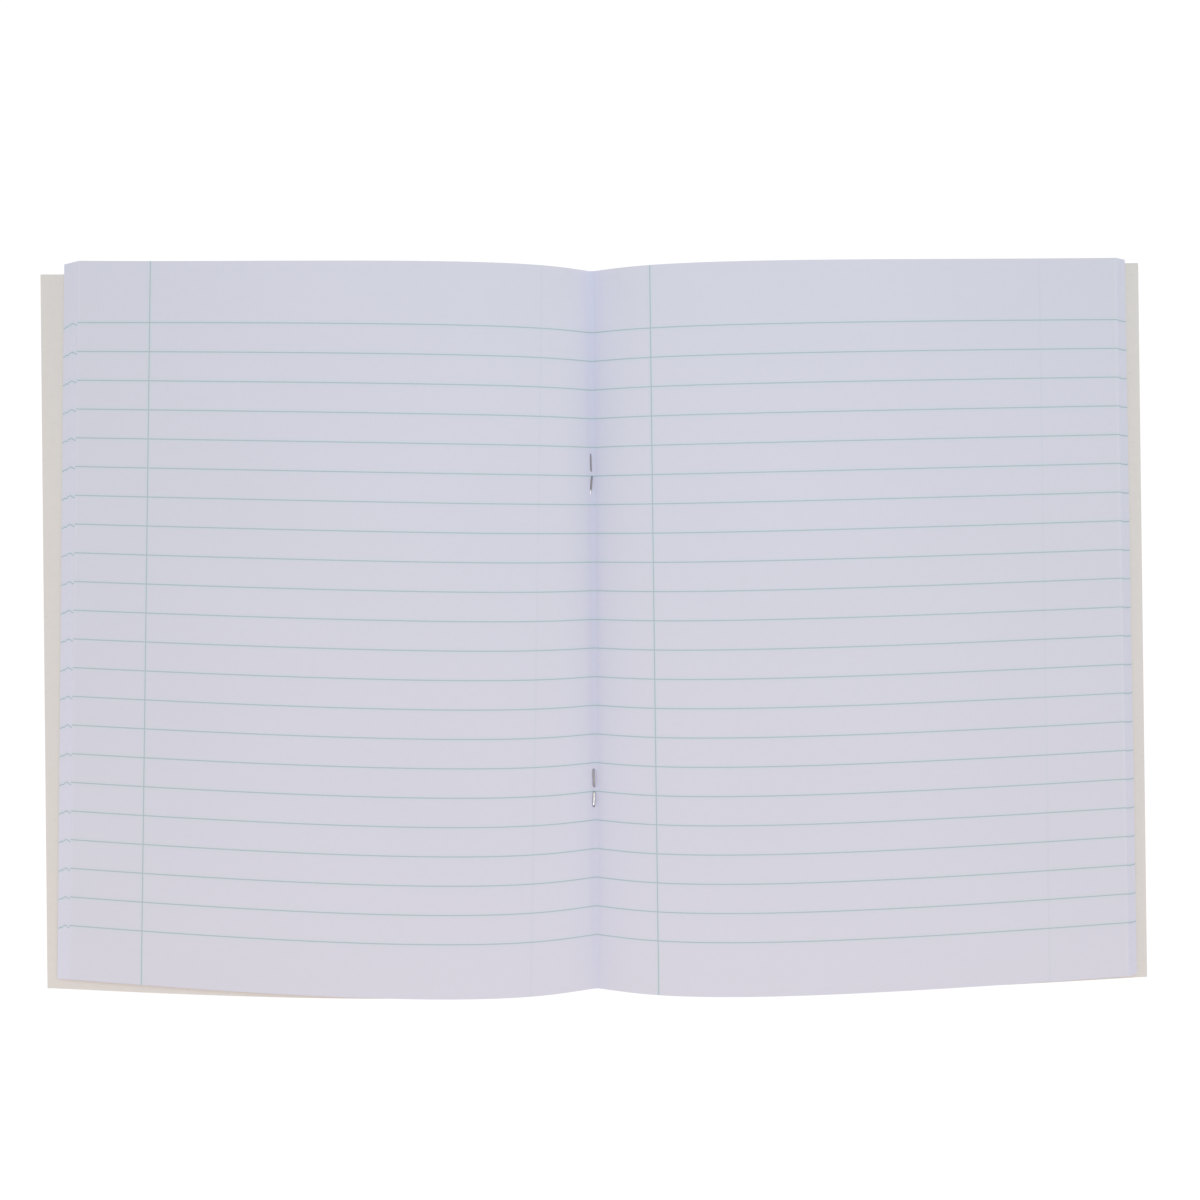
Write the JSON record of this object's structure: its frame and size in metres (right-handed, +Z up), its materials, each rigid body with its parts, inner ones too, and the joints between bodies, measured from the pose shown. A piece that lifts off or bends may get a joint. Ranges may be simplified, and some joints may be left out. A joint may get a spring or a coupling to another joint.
{
  "type": "exercise book",
  "caption": "Stapled exercise book lying open at its centre spread: ruled leaves nested in a folded card cover, each turning about the stapled fold.",
  "frame": {"origin": "middle of the spine, on the underside of the cover", "axes": "+X across the spread to the right page, +Y along the fold to the head, +Z up from the table"},
  "size_m": [0.3326, 0.221, 0.0166],
  "materials": {
    "paper": "matt writing paper",
    "card": "uncoated thin card",
    "wire": "drawn wire"
  },
  "bodies": {
    "back_half": {"back_cover": "card", "upper_staple": "wire", "lower_staple": "wire"},
    "front_cover": {"front_cover": "card"},
    "left_leaf_01": {"left_leaf_01": "paper"},
    "left_leaf_02": {"left_leaf_02": "paper"},
    "left_leaf_03": {"left_leaf_03": "paper"},
    "left_leaf_04": {"left_leaf_04": "paper"},
    "left_leaf_05": {"left_leaf_05": "paper"},
    "left_leaf_06": {"left_leaf_06": "paper"},
    "left_leaf_07": {"left_leaf_07": "paper"},
    "left_leaf_08": {"left_leaf_08": "paper"},
    "right_leaf_01": {"right_leaf_01": "paper"},
    "right_leaf_02": {"right_leaf_02": "paper"},
    "right_leaf_03": {"right_leaf_03": "paper"},
    "right_leaf_04": {"right_leaf_04": "paper"},
    "right_leaf_05": {"right_leaf_05": "paper"},
    "right_leaf_06": {"right_leaf_06": "paper"},
    "right_leaf_07": {"right_leaf_07": "paper"},
    "right_leaf_08": {"right_leaf_08": "paper"}
  },
  "joints": [
    {"name": "front_cover_fold", "type": "hinge", "parent": "back_half", "child": "front_cover", "pos_m": [0, 0, 0.0027], "axis": [0, 1, 0], "range_deg": [0, 106]},
    {"name": "left_leaf_08_turn", "type": "hinge", "parent": "front_cover", "child": "left_leaf_08", "pos_m": [0, 0, 0.0027], "axis": [0, -1, 0], "range_deg": [-6.5, 0]},
    {"name": "left_leaf_07_turn", "type": "hinge", "parent": "left_leaf_08", "child": "left_leaf_07", "pos_m": [0, 0, 0.0027], "axis": [0, -1, 0], "range_deg": [-6.5, 0]},
    {"name": "left_leaf_06_turn", "type": "hinge", "parent": "left_leaf_07", "child": "left_leaf_06", "pos_m": [0, 0, 0.0027], "axis": [0, -1, 0], "range_deg": [-6.5, 0]},
    {"name": "left_leaf_05_turn", "type": "hinge", "parent": "left_leaf_06", "child": "left_leaf_05", "pos_m": [0, 0, 0.0027], "axis": [0, -1, 0], "range_deg": [-6.5, 0]},
    {"name": "left_leaf_04_turn", "type": "hinge", "parent": "left_leaf_05", "child": "left_leaf_04", "pos_m": [0, 0, 0.0027], "axis": [0, -1, 0], "range_deg": [-6.5, 0]},
    {"name": "left_leaf_03_turn", "type": "hinge", "parent": "left_leaf_04", "child": "left_leaf_03", "pos_m": [0, 0, 0.0027], "axis": [0, -1, 0], "range_deg": [-6.5, 0]},
    {"name": "left_leaf_02_turn", "type": "hinge", "parent": "left_leaf_03", "child": "left_leaf_02", "pos_m": [0, 0, 0.0027], "axis": [0, -1, 0], "range_deg": [-6.5, 0]},
    {"name": "left_leaf_01_turn", "type": "hinge", "parent": "left_leaf_02", "child": "left_leaf_01", "pos_m": [0, 0, 0.0027], "axis": [0, -1, 0], "range_deg": [-6.5, 0]},
    {"name": "right_leaf_08_turn", "type": "hinge", "parent": "back_half", "child": "right_leaf_08", "pos_m": [0, 0, 0.0027], "axis": [0, 1, 0], "range_deg": [-6.5, 0]},
    {"name": "right_leaf_07_turn", "type": "hinge", "parent": "right_leaf_08", "child": "right_leaf_07", "pos_m": [0, 0, 0.0027], "axis": [0, 1, 0], "range_deg": [-6.5, 0]},
    {"name": "right_leaf_06_turn", "type": "hinge", "parent": "right_leaf_07", "child": "right_leaf_06", "pos_m": [0, 0, 0.0027], "axis": [0, 1, 0], "range_deg": [-6.5, 0]},
    {"name": "right_leaf_05_turn", "type": "hinge", "parent": "right_leaf_06", "child": "right_leaf_05", "pos_m": [0, 0, 0.0027], "axis": [0, 1, 0], "range_deg": [-6.5, 0]},
    {"name": "right_leaf_04_turn", "type": "hinge", "parent": "right_leaf_05", "child": "right_leaf_04", "pos_m": [0, 0, 0.0027], "axis": [0, 1, 0], "range_deg": [-6.5, 0]},
    {"name": "right_leaf_03_turn", "type": "hinge", "parent": "right_leaf_04", "child": "right_leaf_03", "pos_m": [0, 0, 0.0027], "axis": [0, 1, 0], "range_deg": [-6.5, 0]},
    {"name": "right_leaf_02_turn", "type": "hinge", "parent": "right_leaf_03", "child": "right_leaf_02", "pos_m": [0, 0, 0.0027], "axis": [0, 1, 0], "range_deg": [-6.5, 0]},
    {"name": "right_leaf_01_turn", "type": "hinge", "parent": "right_leaf_02", "child": "right_leaf_01", "pos_m": [0, 0, 0.0027], "axis": [0, 1, 0], "range_deg": [-6.5, 0]}
  ]
}
